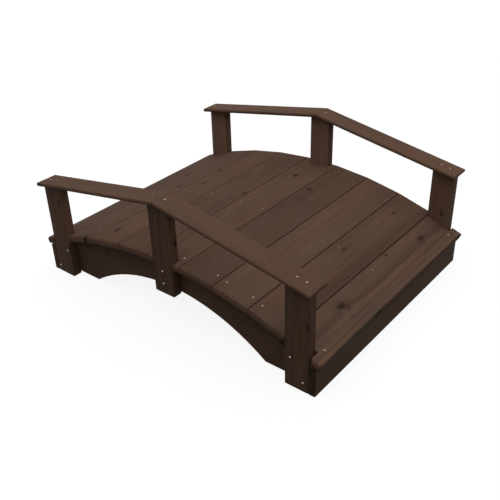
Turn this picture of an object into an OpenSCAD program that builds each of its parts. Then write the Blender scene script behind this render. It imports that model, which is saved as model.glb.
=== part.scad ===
// Arched garden footbridge of stained softwood boards.
// X runs along the bridge, Y across it and Z up. The origin is on the ground under the middle of the deck.
// The near side is towards -Y, the far side towards +Y, the left end towards -X and the right end towards +X.

/* [Deck] */
// Number of planks along the deck
plank_count = 9; // [5:1:13]
// Width of one plank, along the bridge
plank_w = 137; // [110:0.5:170]
// Thickness of a plank
plank_t = 25.4; // [18:0.2:40]
// Gap between two planks where they rest on the stringers
plank_gap = 0.6; // [0.2:0.1:6]
// Length of a plank, which is the width of the deck
deck_w = 922; // [600:1:1500]
// Radius of the curve that the planks rest on
deck_radius = 1470; // [1100:5:2400]
// Radius of the eased long edges of a plank
plank_ease = 2; // [0.5:0.5:6]
// Radius of the rounded ends of a plank
plank_end_ease = 8; // [0.5:0.5:10]
// Room that the planks leave behind a post
notch_clearance = 2; // [0.5:0.1:5]
// Room that the planks leave on each side of a post
notch_side_gap = 3; // [0.5:0.5:12]
// Room between an end post and the tongue of the end plank that lies over the end board
tongue_gap = 8; // [0.5:0.5:18]
// Narrowest tongue that is left on the other side of an end post
tongue_min = 15; // [5:0.5:30]

/* [Stringers] */
// Thickness of a stringer
stringer_t = 38; // [25:0.5:60]
// Height of a stringer at its ends
stringer_end_h = 105; // [85:0.5:160]
// Height of the stringers' feet over the ground that the end posts and end boards stand on
foot_lift = 7; // [0:0.5:20]
// Depth of a stringer over the crown of its arch
stringer_crown_h = 95; // [75:1:115]
// Length of the flat foot at each end of a stringer
foot_l = 182; // [100:1:260]

/* [End boards] */
// Thickness of the board that closes each end
end_board_t = 25.4; // [16:0.2:36]
// Reach of the end plank past the end board
nosing = 19.5; // [10:0.5:35]
// Radius of the eased upright edges of an end board
end_board_ease = 4; // [0.5:0.5:6]

/* [Posts] */
// Width of a post, along the bridge
post_w = 84; // [50:0.5:100]
// Thickness of a post
post_t = 35; // [20:0.5:50]
// How far the posts stand past the ends of the planks
post_proud = 2.5; // [0:0.5:15]
// How far the middle posts reach below the crown of the arch
post_drop = 6; // [1:0.5:40]
// Radius of the eased upright edges of a post
post_ease = 3; // [0.5:0.5:6]

/* [Rails] */
// Width of a rail
rail_w = 84; // [50:0.5:140]
// Thickness of a rail
rail_t = 14; // [10:0.5:30]
// Height of the rails over the deck at the middle of the bridge
rail_above_deck = 217; // [150:1:900]
// Slope of the rails in degrees
rail_slope = 10; // [4:0.5:14]
// Reach of a rail past the end post
rail_overhang = 15; // [5:0.5:40]
// How far a rail is set in from the middle of the posts
rail_set_in = 5.5; // [0:0.5:10]
// Width of the mitred joint between the two rails of a side
rail_joint = 0.6; // [0.2:0.1:3]
// Radius of the rounded outer corners of a rail
rail_corner = 3; // [2:0.5:20]
// Radius of the rounded edges of a rail
rail_ease = 6; // [0.5:0.5:6]

/* [Hidden] */
$fn = 48;
// Facets of the two long curves
curve_fn = 720;
// Overrun of the cuts
overrun = 2;
// How far the side and the plan of a rail stand outside of its section, to share no face with it
round_margin = 0.5;

// Planks lie flat on the curve, each touching it along its own middle line
plank_corner_radius = norm([deck_radius, plank_w / 2]);
plank_pitch = 2 * (atan(plank_w / 2 / deck_radius) + asin(plank_gap / 2 / plank_corner_radius));
end_angle = plank_pitch * (plank_count - 1) / 2;
deck_tip_x = (deck_radius + plank_t) * sin(end_angle) + plank_w / 2 * cos(end_angle);

// Stringers run from end board to end board under the end planks
stringer_half_l = deck_tip_x - nosing - end_board_t;
curve_z = foot_lift + stringer_end_h - sqrt(pow(deck_radius, 2) - pow(stringer_half_l, 2));
crown_z = curve_z + deck_radius;

// The arch springs from the inner ends of the two feet
arch_half_span = stringer_half_l - foot_l;
arch_z = crown_z - stringer_crown_h;
arch_rise = arch_z - foot_lift;
arch_radius = (pow(arch_half_span, 2) + pow(arch_rise, 2)) / (2 * arch_rise);

// Posts stand on the outer faces of the outer stringers, the end ones flush with the stringers' ends
post_outer_y = deck_w / 2 + post_proud;
stringer_outer_y = post_outer_y - post_t;
end_post_x = stringer_half_l - post_w / 2;
middle_post_foot_z = arch_z - post_drop;

// The cut round an end post runs out through the inner edge of the end plank where too little would be left
end_plank_inner_x = deck_tip_x - plank_w * cos(end_angle);
end_cut_start = end_post_x - post_w / 2 - notch_side_gap;
end_cut_x = end_cut_start < end_plank_inner_x + tongue_min ? end_plank_inner_x - plank_t : end_cut_start;

// Rails rise to a peak over the middle posts
rail_peak_z = crown_z + plank_t + rail_above_deck;
rail_half_l = stringer_half_l + rail_overhang;
rail_plumb_t = rail_t / cos(rail_slope);
rail_y = post_outer_y - post_t / 2 - rail_set_in;

deck_brown = "#564438";
rail_brown = "#5b483a";
frame_brown = "#36291f";

// Height of the top of the rails at a place along the bridge
function rail_top_z(x) = rail_peak_z - abs(x) * tan(rail_slope);

// Height of the underside of the end planks at a place along the bridge
function end_plank_under_z(x) = curve_z + (deck_radius - abs(x) * sin(end_angle)) / cos(end_angle);

// Tilt of a plank, counted from the left end
function plank_tilt(number) = (number - (plank_count + 1) / 2) * plank_pitch;

// Rectangle about its middle with round corners
module eased_rectangle(width, height, radius) {
    square([width - 2 * radius, height], center = true);
    square([width, height - 2 * radius], center = true);
    for (x = [-1, 1], y = [-1, 1])
        translate([x * (width / 2 - radius), y * (height / 2 - radius)])
            circle(radius);
}

// Solid that has an outline in X and Z and reaches across Y between two places
module across(from_y, to_y) {
    translate([0, to_y, 0])
        rotate([90, 0, 0])
            linear_extrude(to_y - from_y)
                children();
}

// Board on edge with its top sawn to the curve of the deck and an arch sawn out of its underside
module stringer(middle_y) {
    color(frame_brown)
        across(middle_y - stringer_t / 2, middle_y + stringer_t / 2)
            difference() {
                intersection() {
                    translate([0, curve_z])
                        circle(deck_radius, $fn = curve_fn);
                    translate([-stringer_half_l, foot_lift])
                        square([2 * stringer_half_l, crown_z]);
                }
                translate([0, arch_z - arch_radius])
                    circle(arch_radius, $fn = curve_fn);
            }
}

// Room for one post in the deck, open to the side of the bridge
module post_notch(from_x, to_x, side) {
    depth = post_t + notch_clearance + overrun;
    translate([min(from_x, to_x), side * (stringer_outer_y - notch_clearance + depth / 2) - depth / 2, 0])
        cube([abs(to_x - from_x), depth, rail_peak_z]);
}

// Flat board across the stringers, cut round the posts that it meets
module plank(number) {
    outward = sign(plank_tilt(number));
    is_end = number == 1 || number == plank_count;
    middle_cut = post_w / 2 + notch_side_gap;
    color(deck_brown)
        difference() {
            translate([0, 0, curve_z])
                rotate([0, plank_tilt(number), 0])
                    translate([0, 0, deck_radius + plank_t / 2])
                        intersection() {
                            across(-deck_w / 2, deck_w / 2)
                                eased_rectangle(plank_w, plank_t, plank_ease);
                            translate([-plank_w / 2, 0, 0])
                                rotate([90, 0, 90])
                                    linear_extrude(plank_w)
                                        eased_rectangle(deck_w, plank_t, plank_end_ease);
                        }
            for (side = [-1, 1]) {
                post_notch(-middle_cut, middle_cut, side);
                if (is_end)
                    post_notch(outward * end_cut_x, outward * (stringer_half_l + tongue_gap), side);
            }
        }
}

// Board that closes the end of the stringers, its top planed to lie under the end plank
module end_board(outward) {
    outer_x = stringer_half_l + end_board_t;
    middle_x = stringer_half_l + end_board_t / 2;
    color(frame_brown)
        intersection() {
            translate([outward * middle_x, 0, 0])
                linear_extrude(crown_z)
                    eased_rectangle(end_board_t, 2 * post_outer_y, end_board_ease);
            across(-post_outer_y - overrun, post_outer_y + overrun)
                polygon([
                    [outward * (stringer_half_l - overrun), 0],
                    [outward * (outer_x + overrun), 0],
                    [outward * (outer_x + overrun), end_plank_under_z(outer_x + overrun)],
                    [outward * (stringer_half_l - overrun), end_plank_under_z(stringer_half_l - overrun)]
                ]);
        }
}

// Upright on the outer face of a stringer, its top sawn to the slope of the rails
module post(x, side, foot_z) {
    middle_y = side * (post_outer_y - post_t / 2);
    color(frame_brown)
        intersection() {
            translate([x, middle_y, foot_z])
                linear_extrude(rail_peak_z - foot_z)
                    eased_rectangle(post_w, post_t, post_ease);
            across(middle_y - post_t, middle_y + post_t)
                polygon([
                    [-rail_half_l, 0],
                    [rail_half_l, 0],
                    [rail_half_l, rail_top_z(rail_half_l) - rail_plumb_t],
                    [0, rail_peak_z - rail_plumb_t],
                    [-rail_half_l, rail_top_z(rail_half_l) - rail_plumb_t]
                ]);
        }
}

// Flat board on the post tops with rounded edges, mitred at the peak and cut square at its outer end
module rail(outward, side) {
    length = rail_half_l / cos(rail_slope);
    color(rail_brown)
        intersection() {
            translate([0, side * rail_y, rail_peak_z])
                rotate([0, outward * rail_slope, 0])
                    translate([0, 0, -rail_t / 2])
                        intersection() {
                            // Section of the board
                            translate([-length - overrun, 0, 0])
                                rotate([90, 0, 90])
                                    linear_extrude(2 * length + 2 * overrun)
                                        eased_rectangle(rail_w, rail_t, rail_ease);
                            // Side of the board
                            across(-rail_w, rail_w)
                                eased_rectangle(2 * length, rail_t + 2 * round_margin, rail_ease + round_margin);
                            // Plan of the board
                            translate([0, 0, -rail_t])
                                linear_extrude(2 * rail_t)
                                    eased_rectangle(
                                        2 * (length + round_margin),
                                        rail_w + 2 * round_margin,
                                        rail_corner + round_margin
                                    );
                        }
            // Plumb cut of the mitred joint
            across(side * rail_y - rail_w, side * rail_y + rail_w)
                translate([outward * (rail_joint / 2 + length) - length, 0])
                    square([2 * length, rail_peak_z]);
        }
}

stringer(stringer_t / 2 - stringer_outer_y);  // near_stringer
stringer(0);  // middle_stringer
stringer(stringer_outer_y - stringer_t / 2);  // far_stringer

for (number = [1 : plank_count])
    plank(number);

end_board(-1);  // left_end_board
end_board(1);  // right_end_board

post(-end_post_x, -1, 0);  // near_left_post
post(0, -1, middle_post_foot_z);  // near_middle_post
post(end_post_x, -1, 0);  // near_right_post
post(-end_post_x, 1, 0);  // far_left_post
post(0, 1, middle_post_foot_z);  // far_middle_post
post(end_post_x, 1, 0);  // far_right_post

rail(-1, -1);  // near_left_rail
rail(1, -1);  // near_right_rail
rail(-1, 1);  // far_left_rail
rail(1, 1);  // far_right_rail
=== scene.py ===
import math
from collections import namedtuple

import bmesh
import bpy
from mathutils import Matrix, Vector


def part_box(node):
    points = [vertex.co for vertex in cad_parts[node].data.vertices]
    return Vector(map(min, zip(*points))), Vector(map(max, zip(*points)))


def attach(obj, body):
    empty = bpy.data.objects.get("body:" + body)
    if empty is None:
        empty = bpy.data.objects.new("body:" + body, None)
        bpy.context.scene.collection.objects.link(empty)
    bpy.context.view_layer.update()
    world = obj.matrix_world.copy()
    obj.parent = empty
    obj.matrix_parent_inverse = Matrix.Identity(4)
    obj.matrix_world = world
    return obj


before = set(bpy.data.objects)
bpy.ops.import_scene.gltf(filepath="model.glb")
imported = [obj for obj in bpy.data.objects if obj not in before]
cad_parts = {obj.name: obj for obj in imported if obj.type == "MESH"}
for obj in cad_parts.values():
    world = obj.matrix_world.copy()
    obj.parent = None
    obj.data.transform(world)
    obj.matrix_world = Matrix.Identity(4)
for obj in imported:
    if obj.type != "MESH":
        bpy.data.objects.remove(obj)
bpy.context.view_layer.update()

# Stringers
# Three softwood boards on edge, sawn to the curve of the deck and to the arch, carry the bridge.
# They are dipped in a dark brown stain that lets the growth rings, the fibres and the knots show.

along_x, along_y, along_z = (Vector(axis) for axis in ((1, 0, 0), (0, 1, 0), (0, 0, 1)))


def add_node(tree, kind, sockets=(), **settings):
    """One shader node, its sockets filled with links or with plain values."""
    made = tree.nodes.new(kind)
    for name, value in settings.items():
        setattr(made, name, value)
    for key, value in dict(sockets).items():
        if isinstance(value, bpy.types.NodeSocket):
            tree.links.new(value, made.inputs[key])
        else:
            made.inputs[key].default_value = value
    return made


def figure(tree, operation, *values):
    """The result of one sum."""
    return add_node(tree, "ShaderNodeMath", dict(enumerate(values)), operation=operation).outputs[0]


def arrow(tree, operation, *values):
    """The result of one sum on vectors."""
    made = add_node(tree, "ShaderNodeVectorMath", dict(enumerate(values)), operation=operation)
    return made.outputs[1 if operation == "LENGTH" else 0]


def fade(tree, value, start, stop, low=0.0, high=1.0):
    """A soft step from low, where the value is start, to high, where it is stop."""
    sockets = {"Value": value, "From Min": start, "From Max": stop, "To Min": low, "To Max": high}
    return add_node(tree, "ShaderNodeMapRange", sockets, interpolation_type="SMOOTHSTEP").outputs[0]


def grain_noise(tree, place, along, across, detail, roughness=0.5):
    """Noise about a half, drawn out along the fibres, by its cells for each metre along and across."""
    drawn_out = arrow(tree, "MULTIPLY", place, (along, across, across))
    sockets = {"Vector": drawn_out, "Scale": 1.0, "Detail": detail, "Roughness": roughness}
    return add_node(tree, "ShaderNodeTexNoise", sockets).outputs[0]


def sway(tree, noise, spread, strength):
    """A change by up to the strength, down or up, where the noise is the spread below or above a half."""
    return fade(tree, noise, 0.5 - spread, 0.5 + spread, -strength, strength)


def new_group(name, inputs, outputs):
    """An empty node group with the given sockets, and its two end nodes."""
    group = bpy.data.node_groups.new(name, "ShaderNodeTree")
    for direction, sockets in (("INPUT", inputs), ("OUTPUT", outputs)):
        for socket, kind in sockets.items():
            group.interface.new_socket(socket, in_out=direction, socket_type="NodeSocket" + kind)
    return group, group.nodes.new("NodeGroupInput").outputs, group.nodes.new("NodeGroupOutput").inputs


# Each pair is where a part of a knot starts and where it is whole, in radii of the knot, or its two shades
Knot = namedtuple("Knot", "along across radius darkness depth", defaults=(0.72, None))
knot_brown = (0.017, 0.0105, 0.0075, 1.0)
knot_squeeze = 0.6
knot_raggedness = 0.3
knot_rim_spread = 0.3
knot_rim = (1.2, 0.7)
knot_heart = (0.9, 0.1)
knot_heart_shades = (0.75, 1.2)
knot_ring_turns = 17.0
knot_ring_shades = (0.82, 1.06)
knot_halo = (2.6, 0.8)
knot_halo_shades = (0.0, 0.16)
knot_swell = (3.2, 0.0)
knot_swell_share = 0.25


def make_knot():
    """A branch sawn through: a dark core with a ragged rim, rings of its own and a faint halo. The board's
    rings lift round it, and what the knots before it gave is passed on."""
    inputs = {
        **dict.fromkeys(("place", "centre", "squeeze"), "Vector"),
        **dict.fromkeys(("radius", "darkness", "lift", "dark"), "Float"),
    }
    group, given, result = new_group("knot", inputs, {"lift": "Float", "dark": "Float"})
    offset = arrow(group, "SUBTRACT", given["place"], given["centre"])
    squeezed = arrow(group, "MULTIPLY", offset, given["squeeze"])
    reach = figure(group, "DIVIDE", arrow(group, "LENGTH", squeezed), given["radius"])
    ragged = grain_noise(group, given["place"], along=45.0, across=110.0, detail=3.0)
    reach = figure(group, "ADD", reach, sway(group, ragged, knot_rim_spread, knot_raggedness))
    wave = figure(group, "SINE", figure(group, "MULTIPLY", reach, knot_ring_turns))
    rings = fade(group, wave, -1.0, 1.0, *knot_ring_shades)
    core = figure(group, "MULTIPLY", fade(group, reach, *knot_rim), rings)
    core = figure(group, "MULTIPLY", core, fade(group, reach, *knot_heart, *knot_heart_shades))
    halo = fade(group, reach, *knot_halo, *knot_halo_shades)
    darkest = figure(group, "MULTIPLY", figure(group, "MAXIMUM", core, halo), given["darkness"])
    group.links.new(figure(group, "MAXIMUM", darkest, given["dark"]), result["dark"])
    swell = figure(group, "MULTIPLY", fade(group, reach, *knot_swell), given["radius"])
    group.links.new(figure(group, "MULTIPLY_ADD", swell, knot_swell_share, given["lift"]), result["lift"])
    return group


# What one board may have of its own. The log's pith lay at heart, from the board's middle, and its rings
# have a width, show as strongly as rings says and drift by lean and wander. The stain took unevenly by
# mottle and streaks. It is as pale as tone says, changed by sapwood on the side away from across and by
# sawn_end on the end grain. Painted light makes both ends paler, against the shade the rails cast there.
# Painted shade darkens the board along dark_edge, which lies off a plain board, for the shadow line under
# an end plank's nose. Painted light also makes a side and the back paler: the last setting gives where
# along the board the painted side starts, and how much paler side and back are.
plain_grain = {
    "heart": (0.0, 0.01, -0.09),
    "ring_width": 0.0085,
    "rings": 0.5,
    "lean": 0.015,
    "wander": 1.0,
    "mottle": 1.0,
    "streaks": 1.0,
    "tone": 1.0,
    "painted_end_light": 0.0,
    "sapwood": 0.0,
    "sawn_end": -0.16,
    "dark_edge": 1.0,
    "painted_face_light": (0.0, 0.0, 0.0),
}
log_step = (3.7, 1.9, 2.3)
across_grain = (0.0, 1.0, 1.0)
ring_spread = 0.3
ring_wander = 0.007
ring_waver = 0.0012
late_wood_start = 0.15
late_wood_peak = 0.8
faintest_ring = 0.35


def sawn_rings(group, given, along, log_place):
    """The late wood of the growth rings, which lie about the heart of the log, wander along the board and
    swell at the knots. It sets in softly, ends sharply and differs in strength from ring to ring."""
    from_heart = arrow(group, "SUBTRACT", given["place"], given["heart"])
    ring_radius = arrow(group, "LENGTH", arrow(group, "MULTIPLY", from_heart, across_grain))
    broad_noise = grain_noise(group, log_place, along=0.7, across=4.0, detail=2.0)
    narrow_noise = grain_noise(group, log_place, along=6.0, across=40.0, detail=2.0)
    wander = sway(group, broad_noise, ring_spread, ring_wander)
    waver = sway(group, narrow_noise, ring_spread, ring_waver)
    ring_radius = figure(group, "MULTIPLY_ADD", along, given["lean"], ring_radius)
    ring_radius = figure(group, "MULTIPLY_ADD", wander, given["wander"], ring_radius)
    for part in (waver, given["lift"]):
        ring_radius = figure(group, "ADD", ring_radius, part)
    ring_count = figure(group, "DIVIDE", ring_radius, given["ring_width"])
    across_ring = figure(group, "FRACT", ring_count)
    ring_number = figure(group, "ADD", figure(group, "FLOOR", ring_count), given["seed"])
    chance = add_node(group, "ShaderNodeTexWhiteNoise", {1: ring_number}, noise_dimensions="1D").outputs[0]
    setting_in = fade(group, across_ring, late_wood_start, late_wood_peak)
    ending = fade(group, across_ring, 1.0, late_wood_peak)
    late_wood = figure(group, "MULTIPLY", setting_in, ending)
    return figure(group, "MULTIPLY", late_wood, fade(group, chance, 0.0, 1.0, faintest_ring, 1.0))


late_wood_darkness = 0.32
stain_spread = 0.25
streak_strength = 0.08
fibre_strength = 0.15
blotch_strength = 0.1
pitch_pocket = (0.6, 0.76)
pitch_darkness = 0.26


def taken_stain(group, given, log_place, late_wood, fibre_noise):
    """How pale the stain came out: streaks, fibres and blotches drank more or less of it, and the late wood
    and the dashes of the pitch pockets are darker."""
    streak_noise = grain_noise(group, log_place, along=1.6, across=60.0, detail=3.0)
    blotch_noise = grain_noise(group, log_place, along=3.2, across=9.0, detail=3.0)
    pitch_noise = grain_noise(group, log_place, along=20.0, across=190.0, detail=2.0)
    streak = sway(group, streak_noise, stain_spread, streak_strength)
    streak = figure(group, "MULTIPLY", streak, given["streaks"])
    blotch = sway(group, blotch_noise, stain_spread, blotch_strength)
    fibre = sway(group, fibre_noise, stain_spread, fibre_strength)
    pitch = fade(group, pitch_noise, *pitch_pocket, 0.0, -pitch_darkness)
    rings = figure(group, "MULTIPLY", late_wood, given["rings"])
    shade = figure(group, "MULTIPLY_ADD", rings, -late_wood_darkness, given["tone"])
    for part in (streak, blotch, pitch):
        shade = figure(group, "MULTIPLY_ADD", part, given["mottle"], shade)
    return figure(group, "ADD", shade, fibre)


# Each pair is where a change starts and where it is whole, in metres from an edge, a face or the middle
rubbed_edge = (0.0055, 0.0015)
rubbed_raggedness = 0.004
rubbed_paler = 0.1
end_grain = (0.004, 0.0005)
# Painted light at both ends, and painted shade along an end plank's nose edge
painted_light_ends = (0.12, 0.42)
nose_shade_reach = (0.009, 0.001)
nose_shade_darkness = 0.84
sapwood_side = (0.0, -0.055)
# Painted light on a side and the back: how deep it reaches into a face, and its steps
outer_skin = (0.0035, 0.0005)
lit_step = 0.01
face_step = 0.001


def wear_and_painted_light(group, given, places, fibre_noise):
    """What changed the stain on the finished board: edges rubbed paler, sawn ends and sapwood along one
    side.
    On top of that comes painted light: a painted shade along an end plank's nose, ends painted paler
    against the rails' shade, and a side and back painted paler, standing in for light that falls on them."""
    along, across, through = places
    depth = arrow(group, "SUBTRACT", given["half_size"], arrow(group, "ABSOLUTE", given["place"]))
    depth_along, depth_across, depth_through = add_node(group, "ShaderNodeSeparateXYZ", {0: depth}).outputs

    # The second smallest of the three depths is small only near an edge
    from_edge = figure(
        group, "MAXIMUM",
        figure(group, "MINIMUM", depth_along, depth_across),
        figure(group, "MINIMUM", figure(group, "MAXIMUM", depth_along, depth_across), depth_through),
    )
    ragged_edge = figure(group, "MULTIPLY_ADD", fibre_noise, rubbed_raggedness, from_edge)
    rubbed = fade(group, ragged_edge, *rubbed_edge, 0.0, rubbed_paler)
    sawn_end = figure(group, "MULTIPLY", fade(group, depth_along, *end_grain), given["sawn_end"])
    # Painted light: both ends are made paler, against the shade the rails cast there
    from_middle = figure(group, "ABSOLUTE", along)
    painted_end_light = figure(group, "MULTIPLY", fade(group, from_middle, *painted_light_ends), given["painted_end_light"])
    # Painted shade: a dark band along dark_edge stands for the shadow line under an end plank's nose
    from_dark_edge = figure(group, "ABSOLUTE", figure(group, "SUBTRACT", across, given["dark_edge"]))
    painted_nose_shade = fade(group, from_dark_edge, *nose_shade_reach, 0.0, -nose_shade_darkness)
    sapwood = figure(group, "MULTIPLY", fade(group, across, *sapwood_side), given["sapwood"])

    # Painted light: a side above the deck and the back are made paler, standing in for light that falls
    # there
    painted_face_light = add_node(group, "ShaderNodeSeparateXYZ", {0: given["painted_face_light"]}).outputs
    lit_from, paler_side, paler_back = painted_face_light
    bare = fade(group, figure(group, "SUBTRACT", along, lit_from), -lit_step, lit_step)
    right_half = fade(group, across, 0.0, face_step)
    back_half = fade(group, through, 0.0, -face_step)
    side = figure(group, "MULTIPLY", fade(group, depth_across, *outer_skin), right_half)
    back = figure(group, "MULTIPLY", fade(group, depth_through, *outer_skin), back_half)
    lit_side = figure(group, "MULTIPLY", figure(group, "MULTIPLY", side, bare), paler_side)
    brightened_faces = figure(group, "MAXIMUM", lit_side, figure(group, "MULTIPLY", back, paler_back))
    return rubbed, sawn_end, painted_end_light, painted_nose_shade, sapwood, brightened_faces


cool_tint = (0.97, 1.01, 1.04, 1.0)
warm_tint = (1.03, 0.99, 0.95, 1.0)
warm_patch = (0.3, 0.7)
fibre_range = (0.2, 0.8)
dullness = (0.66, 0.84)
late_wood_shine = 0.08
late_wood_relief = 0.5
fibre_relief = 0.6
knot_relief = 0.4


def make_stained_softwood():
    """Sawn softwood under a brown stain. A place in it is x along the grain, y across and z through."""
    inputs = {"seed": "Float", **dict.fromkeys(plain_grain, "Float"), "lift": "Float", "dark": "Float"}
    inputs.update(dict.fromkeys(("place", "half_size", "heart", "painted_face_light"), "Vector"), stain="Color")
    outputs = {"colour": "Color", "roughness": "Float", "height": "Float"}
    group, given, result = new_group("stained softwood", inputs, outputs)
    places = add_node(group, "ShaderNodeSeparateXYZ", {0: given["place"]}).outputs
    log_place = arrow(group, "ADD", given["place"], arrow(group, "MULTIPLY", given["seed"], log_step))
    late_wood = sawn_rings(group, given, places[0], log_place)
    fibre_noise = grain_noise(group, log_place, along=16.0, across=900.0, detail=3.0, roughness=0.6)
    shade = taken_stain(group, given, log_place, late_wood, fibre_noise)
    for change in wear_and_painted_light(group, given, places, fibre_noise):
        shade = figure(group, "ADD", shade, change)

    shaded = arrow(group, "SCALE", given["stain"])
    group.links.new(shade, shaded.node.inputs["Scale"])
    warmth = fade(group, grain_noise(group, log_place, along=2.1, across=14.0, detail=2.0), *warm_patch)
    tint = add_node(group, "ShaderNodeMix", {0: warmth, 6: cool_tint, 7: warm_tint}, data_type="RGBA")
    toned = arrow(group, "MULTIPLY", shaded, tint.outputs[2])
    colours = {0: given["dark"], 6: toned, 7: knot_brown}
    knotted = add_node(group, "ShaderNodeMix", colours, data_type="RGBA")
    group.links.new(knotted.outputs[2], result["colour"])
    dull = fade(group, fibre_noise, *fibre_range, *dullness)
    group.links.new(figure(group, "MULTIPLY_ADD", late_wood, -late_wood_shine, dull), result["roughness"])
    fibre_height = figure(group, "MULTIPLY", fibre_noise, fibre_relief)
    relief = figure(group, "MULTIPLY_ADD", late_wood, late_wood_relief, fibre_height)
    group.links.new(figure(group, "MULTIPLY_ADD", given["dark"], knot_relief, relief), result["height"])
    return group


brown_stain = (0.0915, 0.0535, 0.0365, 1.0)
deck_gloss = 0.02
frame_gloss = 0.045
relief_strength = 0.5
relief_height = 0.0008
knot_group = make_knot()
softwood_group = make_stained_softwood()


def stain_board(name, along, across, seed, knots=(), gloss=deck_gloss, **grain):
    """Gives one board its own grain; along and across are its directions. A knot lies along and across from
    the board's middle and goes through it, or ends near its depth."""
    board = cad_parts[name]
    turn = Matrix((along, across, along.cross(across))).transposed()
    corners = [turn.transposed() @ vertex.co for vertex in board.data.vertices]
    low = Vector([min(corner[axis] for corner in corners) for axis in range(3)])
    high = Vector([max(corner[axis] for corner in corners) for axis in range(3)])
    wood = bpy.data.materials.new("stained_" + name)
    wood.use_nodes = True
    tree = wood.node_tree
    shader = tree.nodes["Principled BSDF"]
    place = add_node(tree, "ShaderNodeMapping", {
        "Vector": add_node(tree, "ShaderNodeTexCoord").outputs["Object"],
        "Location": turn @ ((low + high) / 2),
        "Rotation": turn.to_euler(),
    }, vector_type="TEXTURE").outputs[0]
    lift, dark = 0.0, 0.0
    for knot in knots:
        lift, dark = add_node(tree, "ShaderNodeGroup", {
            "place": place,
            "centre": (knot.along, knot.across, knot.depth or 0.0),
            "squeeze": (knot_squeeze, 1.0, 0.0 if knot.depth is None else 1.0),
            "radius": knot.radius,
            "darkness": knot.darkness,
            "lift": lift,
            "dark": dark,
        }, node_tree=knot_group).outputs
    sawn = add_node(tree, "ShaderNodeGroup", {
        **plain_grain,
        **grain,
        "place": place,
        "half_size": (high - low) / 2,
        "stain": brown_stain,
        "seed": seed,
        "lift": lift,
        "dark": dark,
    }, node_tree=softwood_group).outputs
    tree.links.new(sawn["colour"], shader.inputs["Base Color"])
    tree.links.new(sawn["roughness"], shader.inputs["Roughness"])
    shader.inputs["Specular IOR Level"].default_value = gloss
    relief = {"Strength": relief_strength, "Distance": relief_height, "Height": sawn["height"]}
    tree.links.new(add_node(tree, "ShaderNodeBump", relief).outputs[0], shader.inputs["Normal"])
    board.material_slots[0].material = wood


stringer_seed = 11.3
# The stringers' low tone is partly their stain and partly painted shade, which makes their upright faces as
# dark as shade does
stringer_grain = {"tone": 0.77, "heart": (0.0, -0.05, 0.12)}
stringer_knots = {
    "near_stringer": [Knot(-0.31, 0.03, 0.009), Knot(0.45, -0.006, 0.01, 1.0)],
    "middle_stringer": [Knot(0.14, 0.055, 0.008)],
    "far_stringer": [Knot(-0.23, 0.045, 0.009), Knot(0.36, 0.01, 0.006)],
}
for order, (name, knots) in enumerate(stringer_knots.items()):
    stain_board(name, along_x, along_z, stringer_seed + order, knots, frame_gloss, **stringer_grain)

# End boards
# A softwood board on edge, stained like the stringers, closes each end of the bridge.
# It lies across the stringers' ends, under the nose of the end plank.

end_board_seed = 21.7
# The end boards' low tone is partly their stain and partly painted shade on their upright faces
end_board_grain = {"tone": 0.75, "heart": (0.0, 0.02, -0.11)}
end_board_knots = [Knot(0.17, -0.01, 0.007, 0.45)]
end_board_ends = {"left_end_board": -0.1, "right_end_board": -0.38}
for order, (name, sawn_end) in enumerate(end_board_ends.items()):
    stain_board(
        name, along_y, along_z, end_board_seed + order, end_board_knots, frame_gloss,
        sawn_end=sawn_end, **end_board_grain,
    )

# Posts
# Six softwood uprights, bolted to the outer stringers' outer faces, their tops sawn to the rails' slope.
# The knots are where the photograph shows them. Above the deck most of their right sides are painted paler,
# and so are the inner faces of the far posts: painted light, standing in for light that falls on those
# faces.

post_seed = 31.1
post_grain = {"heart": (0.0, 0.015, -0.07), "streaks": 2.5}
post_knots = {
    "near_right_post": [Knot(0.058, 0.0365, 0.0068, 1.0, -0.0175)],
    "near_middle_post": [Knot(0.028, 0.042, 0.008, 0.95, 0.0075)],
    "far_right_post": [Knot(0.01, 0.012, 0.007)],
    "far_left_post": [Knot(0.155, 0.038, 0.007, 0.55)],
    "far_middle_post": [Knot(-0.06, 0.02, 0.005)],
    "near_left_post": [Knot(0.118, 0.026, 0.009, 0.6)],
}
# Each post's tone is partly its stain and partly painted shade: the low tones darken the outer faces as
# shade does
post_tones = {
    "near_right_post": 0.79,
    "near_middle_post": 0.79,
    "near_left_post": 0.97,
    "far_right_post": 0.9,
    "far_middle_post": 0.95,
    "far_left_post": 1.0,
}
# How much paler each post's right side and back are painted, as painted light for light that falls there
posts_painted_paler = {
    "near_left_post": (0.72, 0.0),
    "near_middle_post": (0.42, 0.0),
    "far_right_post": (0.1, 0.55),
    "far_middle_post": (0.25, 0.9),
    "far_left_post": (0.45, 0.85),
}
planks_at_posts = {"left": "deck_plank_1", "middle": "deck_plank_5", "right": "deck_plank_9"}
for order, (name, knots) in enumerate(post_knots.items()):
    grain = {**post_grain, "tone": post_tones[name]}
    # Painted light: the paler side starts at the deck's height
    if name in posts_painted_paler:
        plank = planks_at_posts[name.split("_")[1]]
        deck_z, post_z = ((low.z + high.z) / 2 for low, high in (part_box(plank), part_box(name)))
        grain["painted_face_light"] = (deck_z - post_z, *posts_painted_paler[name])
    stain_board(name, along_z, along_x, post_seed + order, knots, frame_gloss, **grain)

# Post bolts
# Two bright zinc bolts on dark washers hold each post to its stringer. Their low domed heads stand on the
# outer face, one above the other on the middle posts and staggered on the end posts.

bolt_radius = 0.0036
bolt_height = 0.0026
bolt_cut_tolerance = bolt_radius / 100
washer_radius = 0.0068
washer_height = 0.001
post_bolts = {
    "left": ((0.0308, 0.109), (-0.0283, 0.0255)),
    "middle": ((0.0005, 0.211), (0.0005, 0.164)),
    "right": ((-0.0213, 0.109), (0.025, 0.035)),
}
cloud_scale = 90.0
cloud_detail = 3.0
cloud_edge = (0.3, 0.7)


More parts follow.
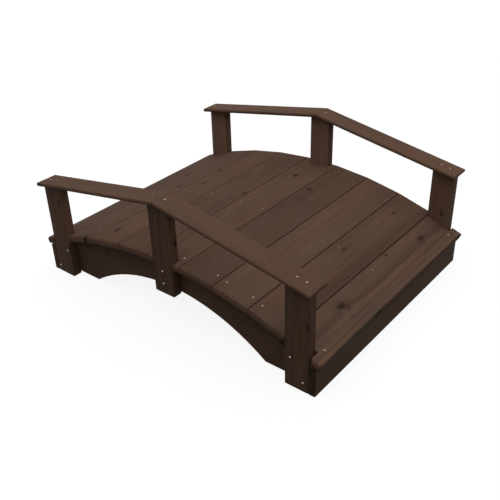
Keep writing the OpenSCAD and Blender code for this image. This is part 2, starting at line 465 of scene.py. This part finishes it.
def make_steel(name, dark_tint, pale_tint, smoothest, roughest, metallic=1.0, gloss=0.5):
    """Steel that is clouded between two tints and scuffed, bare or under the stain."""
    steel = bpy.data.materials.new(name)
    steel.use_nodes = True
    tree = steel.node_tree
    shader = tree.nodes["Principled BSDF"]
    shader.inputs["Metallic"].default_value = metallic
    shader.inputs["Specular IOR Level"].default_value = gloss
    cloud = add_node(tree, "ShaderNodeTexNoise", {
        "Vector": add_node(tree, "ShaderNodeTexCoord").outputs["Object"],
        "Scale": cloud_scale,
        "Detail": cloud_detail,
    }).outputs[0]
    tree.links.new(fade(tree, cloud, *cloud_edge, smoothest, roughest), shader.inputs["Roughness"])
    tint = add_node(tree, "ShaderNodeMix", {0: cloud, 6: dark_tint, 7: pale_tint}, data_type="RGBA")
    tree.links.new(tint.outputs[2], shader.inputs["Base Color"])
    return steel


def set_head(heads, pattern, point, normal, turn=0.0):
    """Sets a copy of a fastener's head on a face, turned about its own axis."""
    first = len(heads.verts)
    heads.from_mesh(pattern)
    heads.verts.ensure_lookup_table()
    stand = normal.to_track_quat("Z", "Y").to_matrix().to_4x4()
    place = Matrix.Translation(point) @ stand @ Matrix.Rotation(turn, 4, "Z")
    bmesh.ops.transform(heads, matrix=place, verts=heads.verts[first:])


def finish_heads(heads, name, material):
    """Makes one piece of a group of heads, which rides on the bridge."""
    mesh = bpy.data.meshes.new(name)
    heads.to_mesh(mesh)
    heads.free()
    mesh.materials.append(material)
    piece = bpy.data.objects.new(name, mesh)
    bpy.context.scene.collection.objects.link(piece)
    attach(piece, "root")


bright_zinc = make_steel(
    "bright_zinc", (0.2, 0.195, 0.185, 1.0), (0.38, 0.37, 0.35, 1.0), smoothest=0.25, roughest=0.45
)
stained_steel = make_steel(
    "stained_steel", (0.04, 0.024, 0.017, 1.0), (0.075, 0.044, 0.03, 1.0),
    smoothest=0.5, roughest=0.7, metallic=0.0, gloss=frame_gloss,
)

dome = bmesh.new()
bmesh.ops.create_uvsphere(dome, u_segments=20, v_segments=12, radius=bolt_radius)
bmesh.ops.bisect_plane(
    dome, geom=dome.verts[:] + dome.edges[:] + dome.faces[:], dist=bolt_cut_tolerance,
    plane_co=(0, 0, 0), plane_no=along_z, clear_inner=True,
)
bmesh.ops.holes_fill(dome, edges=[edge for edge in dome.edges if edge.is_boundary])
bmesh.ops.scale(dome, vec=(1.0, 1.0, bolt_height / bolt_radius), verts=dome.verts)
# The underside, the only face with more than four corners, stays flat
for face in dome.faces:
    face.smooth = len(face.verts) <= 4
bolt_head = bpy.data.meshes.new("bolt_head")
dome.to_mesh(bolt_head)
dome.free()

disc = bmesh.new()
bmesh.ops.create_cone(
    disc, cap_ends=True, segments=24, radius1=washer_radius, radius2=washer_radius, depth=2 * washer_height
)
rim = [edge for edge in disc.edges if all(vertex.co.z > 0 for vertex in edge.verts)]
bmesh.ops.bevel(
    disc, geom=rim, offset=washer_height / 2, affect="EDGES", segments=2, profile=0.5, material=-1
)
washer = bpy.data.meshes.new("washer")
disc.to_mesh(washer)
disc.free()

bolts, washers = bmesh.new(), bmesh.new()
for name in post_knots:
    low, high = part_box(name)
    side = 1 if low.y > 0 else -1
    outer_y = high.y if side > 0 else low.y
    middle_x = (low.x + high.x) / 2
    for step_x, height in post_bolts[name.split("_")[1]]:
        point = Vector((middle_x + step_x, outer_y, height))
        set_head(washers, washer, point, along_y * side)
        set_head(bolts, bolt_head, point + along_y * (side * washer_height), along_y * side)
finish_heads(bolts, "post_bolts", bright_zinc)
finish_heads(washers, "post_washers", stained_steel)

# Deck planks
# Nine flat softwood boards with eased edges lie across the stringers, each on the curve along its middle.
# They are screwed down and stained. The knots are where the photograph shows them, and the right end plank
# has the boldest grain.

deck_radius = 1.47
curve_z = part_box("middle_stringer")[1].z - deck_radius
level_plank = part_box("deck_plank_5")
plank_width = level_plank[1].x - level_plank[0].x
plank_thickness = level_plank[1].z - level_plank[0].z
plank_knots = {
    2: [Knot(0.151, 0.056, 0.009), Knot(0.032, -0.025, 0.011), Knot(-0.458, -0.03, 0.011, 0.85)],
    3: [
        Knot(0.077, 0.023, 0.009), Knot(-0.378, 0.026, 0.011),
        Knot(0.205, 0.058, 0.007), Knot(0.136, -0.06, 0.007, 0.45),
    ],
    4: [Knot(0.06, -0.06, 0.007), Knot(-0.177, 0.03, 0.008), Knot(0.006, -0.038, 0.006, 0.45)],
    5: [Knot(0.291, 0.014, 0.011), Knot(-0.165, -0.062, 0.006, 0.4)],
    6: [Knot(0.225, 0.047, 0.009)],
    8: [Knot(0.325, 0.019, 0.006), Knot(0.004, 0.03, 0.007)],
    9: [
        Knot(0.293, 0.021, 0.011, 0.75), Knot(0.285, 0.006, 0.007, 0.5), Knot(0.102, 0.056, 0.005),
        Knot(-0.222, 0.027, 0.013, 0.74), Knot(-0.207, 0.011, 0.011, 0.5),
    ],
}
plank_tones = {1: 0.94, 2: 1.06, 3: 1.13, 4: 1.03, 5: 1.15, 6: 0.97, 7: 1.19, 8: 1.12, 9: 1.22}
end_planks = (min(plank_tones), max(plank_tones))
plank_seed = 41.3
# Both ends of every plank are painted paler, against the shade the rails cast there
plank_grain = {
    "rings": 0.55, "heart": (0.0, 0.04, -0.1), "lean": 0.02, "mottle": 0.8, "painted_end_light": 0.26, "sawn_end": -0.1,
}
own_grains = {
    6: {"rings": 0.4, "mottle": 0.4},
    8: {"sapwood": -0.2},
    9: {
        "rings": 1.25, "ring_width": 0.012, "heart": (0.0, 0.045, -0.11), "lean": 0.0, "wander": 0.25,
        "mottle": 1.0,
    },
}
plank_frames = {}
for number, tone in plank_tones.items():
    name = f"deck_plank_{number}"
    low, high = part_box(name)
    middle = (low + high) / 2
    tilt = math.atan2(middle.x, middle.z - curve_z)
    up = Vector((math.sin(tilt), 0, math.cos(tilt)))
    plank_frames[number] = (middle, up)
    grain = {**plank_grain, **own_grains.get(number, {}), "tone": tone}
    # The end planks get a painted shade along their outer edge, for the shadow line under the nose
    if number in end_planks:
        grain["dark_edge"] = math.copysign(plank_width / 2, -middle.x)
    knots = plank_knots.get(number, ())
    stain_board(name, along_y, up.cross(along_y), plank_seed + number, knots, **grain)

# Deck screws
# Two countersunk zinc screws hold each plank to each stringer, and one the end planks. Some heads were
# walked bright again, some show their zinc dully, and the others went under the stain.

screw_radius = 0.0034
screw_height = 0.001
screw_rounding = 0.75 * screw_height
screw_sink = 0.0002
screw_turn = 2.4
recess_half_width = 0.16 * screw_radius
recess_reach = 0.6 * screw_radius
recess_taper = 0.08 * screw_radius
recess_depth = 0.9 * screw_height
upright = 0.99
screw_step = 0.0495
nose_screw_step = 0.037
nose_screw_inset = 0.006
screw_rows = {"near": -0.41, "middle": -0.002, "far": 0.41}
screw_slips = {("near", 7, -1): -0.005, ("near", 8, -1): -0.007}
bright_screws = {
    ("near", 5, 1), ("near", 6, 1), ("near", 7, -1), ("near", 7, 1), ("near", 8, -1), ("near", 9, 1),
    ("far", 9, 1),
}
dull_screws = {
    ("near", 2, -1), ("near", 2, 1),
    ("middle", 2, -1), ("middle", 2, 1), ("middle", 3, -1), ("middle", 4, -1), ("middle", 5, -1),
    ("middle", 5, 1), ("middle", 8, -1), ("middle", 9, -1),
    ("far", 3, -1), ("far", 3, 1), ("far", 4, -1), ("far", 5, -1),
}


def make_screw_head():
    """A flat head with a rounded rim and a cross recess."""
    head = bmesh.new()
    bmesh.ops.create_cone(
        head, cap_ends=True, segments=20, radius1=screw_radius, radius2=screw_radius, depth=2 * screw_height
    )
    rim = [edge for edge in head.edges if all(vertex.co.z > 0 for vertex in edge.verts)]
    bmesh.ops.bevel(
        head, geom=rim, offset=screw_rounding, affect="EDGES", segments=3, profile=0.5, material=-1
    )
    for axis in (along_x, along_y):
        for distance in (-recess_reach, -recess_half_width, recess_half_width, recess_reach):
            top = [face for face in head.faces if face.normal.z > upright]
            edges = {edge for face in top for edge in face.edges}
            vertices = {vertex for face in top for vertex in face.verts}
            geometry = [*top, *edges, *vertices]
            bmesh.ops.bisect_plane(head, geom=geometry, plane_co=axis * distance, plane_no=axis)
    cross = []
    for face in head.faces:
        middle = face.calc_center_median()
        across, reach = sorted((abs(middle.x), abs(middle.y)))
        if face.normal.z > upright and across < recess_half_width and reach < recess_reach:
            cross.append(face)
    bmesh.ops.inset_region(
        head, faces=cross, thickness=recess_taper, depth=-recess_depth, use_even_offset=True
    )
    pattern = bpy.data.meshes.new("screw_head")
    head.to_mesh(pattern)
    head.free()
    return pattern


worn_zinc = make_steel(
    "worn_zinc", (0.17, 0.137, 0.104, 1.0), (0.36, 0.3, 0.24, 1.0), smoothest=0.35, roughest=0.55
)
dull_zinc = make_steel(
    "dull_zinc", (0.1, 0.078, 0.057, 1.0), (0.2, 0.16, 0.12, 1.0), smoothest=0.4, roughest=0.6
)
stained_zinc = make_steel(
    "stained_zinc", (0.08, 0.047, 0.032, 1.0), (0.12, 0.071, 0.048, 1.0),
    smoothest=0.6, roughest=0.8, metallic=0.0, gloss=frame_gloss,
)
screw_head = make_screw_head()
bright_heads, dull_heads, stained_heads = bmesh.new(), bmesh.new(), bmesh.new()
driven = 0
for number, (middle, up) in plank_frames.items():
    outward = 1 if middle.x > 0 else -1
    down_slope = along_y.cross(up)
    for row, row_y in screw_rows.items():
        sides = (-1, 1)
        if number in end_planks:
            sides = (-outward,) if row == "middle" else (outward,)
        for side in sides:
            step = screw_step
            screw_y = row_y + screw_slips.get((row, number, side), 0.0)
            if number in end_planks and side == outward:
                step = nose_screw_step
                screw_y -= math.copysign(nose_screw_inset, row_y)
            point = middle + up * (plank_thickness / 2) + down_slope * (side * step) + along_y * screw_y
            heads = stained_heads
            if (row, number, side) in bright_screws:
                heads = bright_heads
            elif (row, number, side) in dull_screws:
                heads = dull_heads
            driven += 1
            set_head(heads, screw_head, point - up * screw_sink, up, screw_turn * driven)
finish_heads(bright_heads, "bright_deck_screws", worn_zinc)
finish_heads(dull_heads, "dull_deck_screws", dull_zinc)
finish_heads(stained_heads, "stained_deck_screws", stained_zinc)

# Rails
# Two flat softwood boards a side lie on the post tops and meet in a plumb mitre over the middle post.
# They took the stain paler than the posts under them, and are screwed down.

rail_slope = math.radians(10)
rail_seed = 61.9
rail_grain = {"heart": (0.0, 0.03, -0.1), "rings": 0.35, "mottle": 0.7}
rail_tones = {
    "near_left_rail": 1.15,
    "near_right_rail": 1.13,
    "far_left_rail": 1.22,
    "far_right_rail": 1.28,
}
for order, (name, tone) in enumerate(rail_tones.items()):
    outward = -1 if "left" in name else 1
    down_slope = Vector((math.cos(rail_slope), 0, -outward * math.sin(rail_slope)))
    stain_board(name, down_slope, along_y, rail_seed + order, tone=tone, **rail_grain)

# Rail screws
# Two countersunk zinc screws hold each rail to its end post, and one to the middle post, all on the rail's
# middle line. On the left rails only the outermost is still bright.

rail_screw_steps = {-1: (0.549, 0.518, 0.035), 1: (0.54, 0.508, 0.018)}
bright_heads, dull_heads = bmesh.new(), bmesh.new()
for name in rail_tones:
    low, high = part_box(name)
    outward = -1 if "left" in name else 1
    up = Vector((outward * math.sin(rail_slope), 0, math.cos(rail_slope)))
    for order, step in enumerate(rail_screw_steps[outward]):
        point = Vector((outward * step, (low.y + high.y) / 2, high.z - step * math.tan(rail_slope)))
        heads = bright_heads if outward > 0 or order == 0 else dull_heads
        driven += 1
        set_head(heads, screw_head, point - up * screw_sink, up, screw_turn * driven)
finish_heads(bright_heads, "bright_rail_screws", worn_zinc)
finish_heads(dull_heads, "dull_rail_screws", dull_zinc)

# Studio
# A pale floor that fades into a white background, one broad softbox overhead and a little even light.
# A shadow is painted into the floor's glow under the middle of the bridge, and the floor is open to a look
# from below.

white = (1.0, 1.0, 1.0, 1.0)
floor_reach = 30.0
floor_grey = (0.15, 0.15, 0.15, 1.0)
floor_glow = 0.89
floor_whitening = (1.0, 7.0)
# The strength and the reach of the shadow painted under the bridge
painted_shadow_strength = 0.65
shadow_along = (0.56, 0.4)
shadow_across = (0.3, 0.2)
softbox_width = 9.0
softbox_height = 3.4
softbox_watts = 260.0
even_light = 0.18


def seen_directly(tree):
    """1 for what the camera, a reflection or glass shows, and 0 for light that falls on the bridge."""
    path = add_node(tree, "ShaderNodeLightPath").outputs
    seen = figure(tree, "MAXIMUM", path["Is Camera Ray"], path["Is Glossy Ray"])
    return figure(tree, "MAXIMUM", seen, path["Is Transmission Ray"])


circle = bmesh.new()
bmesh.ops.create_circle(circle, cap_ends=True, segments=64, radius=floor_reach)
mesh = bpy.data.meshes.new("floor")
circle.to_mesh(mesh)
circle.free()
floor = bpy.data.objects.new("floor", mesh)
bpy.context.scene.collection.objects.link(floor)
pale_floor = bpy.data.materials.new("pale_floor")
pale_floor.use_nodes = True
tree = pale_floor.node_tree
tree.nodes.remove(tree.nodes["Principled BSDF"])
floor_place = add_node(tree, "ShaderNodeTexCoord").outputs["Object"]
from_middle = add_node(tree, "ShaderNodeSeparateXYZ", {0: arrow(tree, "ABSOLUTE", floor_place)}).outputs
# A painted shadow: the floor's glow is dimmed under the middle of the bridge
shadow_length = fade(tree, from_middle[0], *shadow_along)
shadow_width = fade(tree, from_middle[1], *shadow_across)
painted_shadow_mask = figure(tree, "MULTIPLY", shadow_length, shadow_width)
whiter = fade(tree, arrow(tree, "LENGTH", floor_place), *floor_whitening, floor_glow, 1.0)
shadowed_glow = figure(tree, "MULTIPLY", whiter, fade(tree, painted_shadow_mask, 0.0, 1.0, 1.0, 1.0 - painted_shadow_strength))
shown = figure(tree, "MULTIPLY", seen_directly(tree), shadowed_glow)
glow = add_node(tree, "ShaderNodeEmission", {"Strength": shown})
matt = add_node(tree, "ShaderNodeBsdfDiffuse", {"Color": floor_grey})
both = add_node(tree, "ShaderNodeAddShader", {0: matt.outputs[0], 1: glow.outputs[0]})
clear = add_node(tree, "ShaderNodeBsdfTransparent")
underside = add_node(tree, "ShaderNodeNewGeometry").outputs["Backfacing"]
one_sided = add_node(tree, "ShaderNodeMixShader", {0: underside, 1: both.outputs[0], 2: clear.outputs[0]})
tree.links.new(one_sided.outputs[0], tree.nodes["Material Output"].inputs["Surface"])
mesh.materials.append(pale_floor)

world = bpy.data.worlds.new("white_studio")
bpy.context.scene.world = world
world.use_nodes = True
tree = world.node_tree
strength = fade(tree, seen_directly(tree), 0.0, 1.0, even_light, 1.0)
tree.links.new(strength, tree.nodes["Background"].inputs["Strength"])
tree.nodes["Background"].inputs["Color"].default_value = white

softbox = bpy.data.lights.new("softbox", "AREA")
softbox.size = softbox_width
softbox.energy = softbox_watts
softbox_stand = bpy.data.objects.new("softbox", softbox)
softbox_stand.location = (0.0, 0.0, softbox_height)
bpy.context.scene.collection.objects.link(softbox_stand)
bpy.context.scene.view_settings.view_transform = "Standard"

# Camera
# It looks down on the near right corner of the bridge, held a little askew.
# Its place, its angles and its lens are fitted to the photograph.

camera_place = Vector((1.4393, -1.7791, 1.4674))
camera_azimuth = math.radians(39.282)
camera_elevation = math.radians(31.599)
camera_roll = math.radians(-1.639)
camera_focal_length = 51.806
lens = bpy.data.cameras.new("camera")
lens.lens = camera_focal_length
camera = bpy.data.objects.new("camera", lens)
bpy.context.scene.collection.objects.link(camera)
level = math.cos(camera_elevation)
back = Vector((
    math.sin(camera_azimuth) * level,
    -math.cos(camera_azimuth) * level,
    math.sin(camera_elevation),
))
looking = (-back).to_track_quat("-Z", "Y").to_matrix().to_4x4()
camera.matrix_world = Matrix.Translation(camera_place) @ looking @ Matrix.Rotation(camera_roll, 4, "Z")
bpy.context.scene.camera = camera
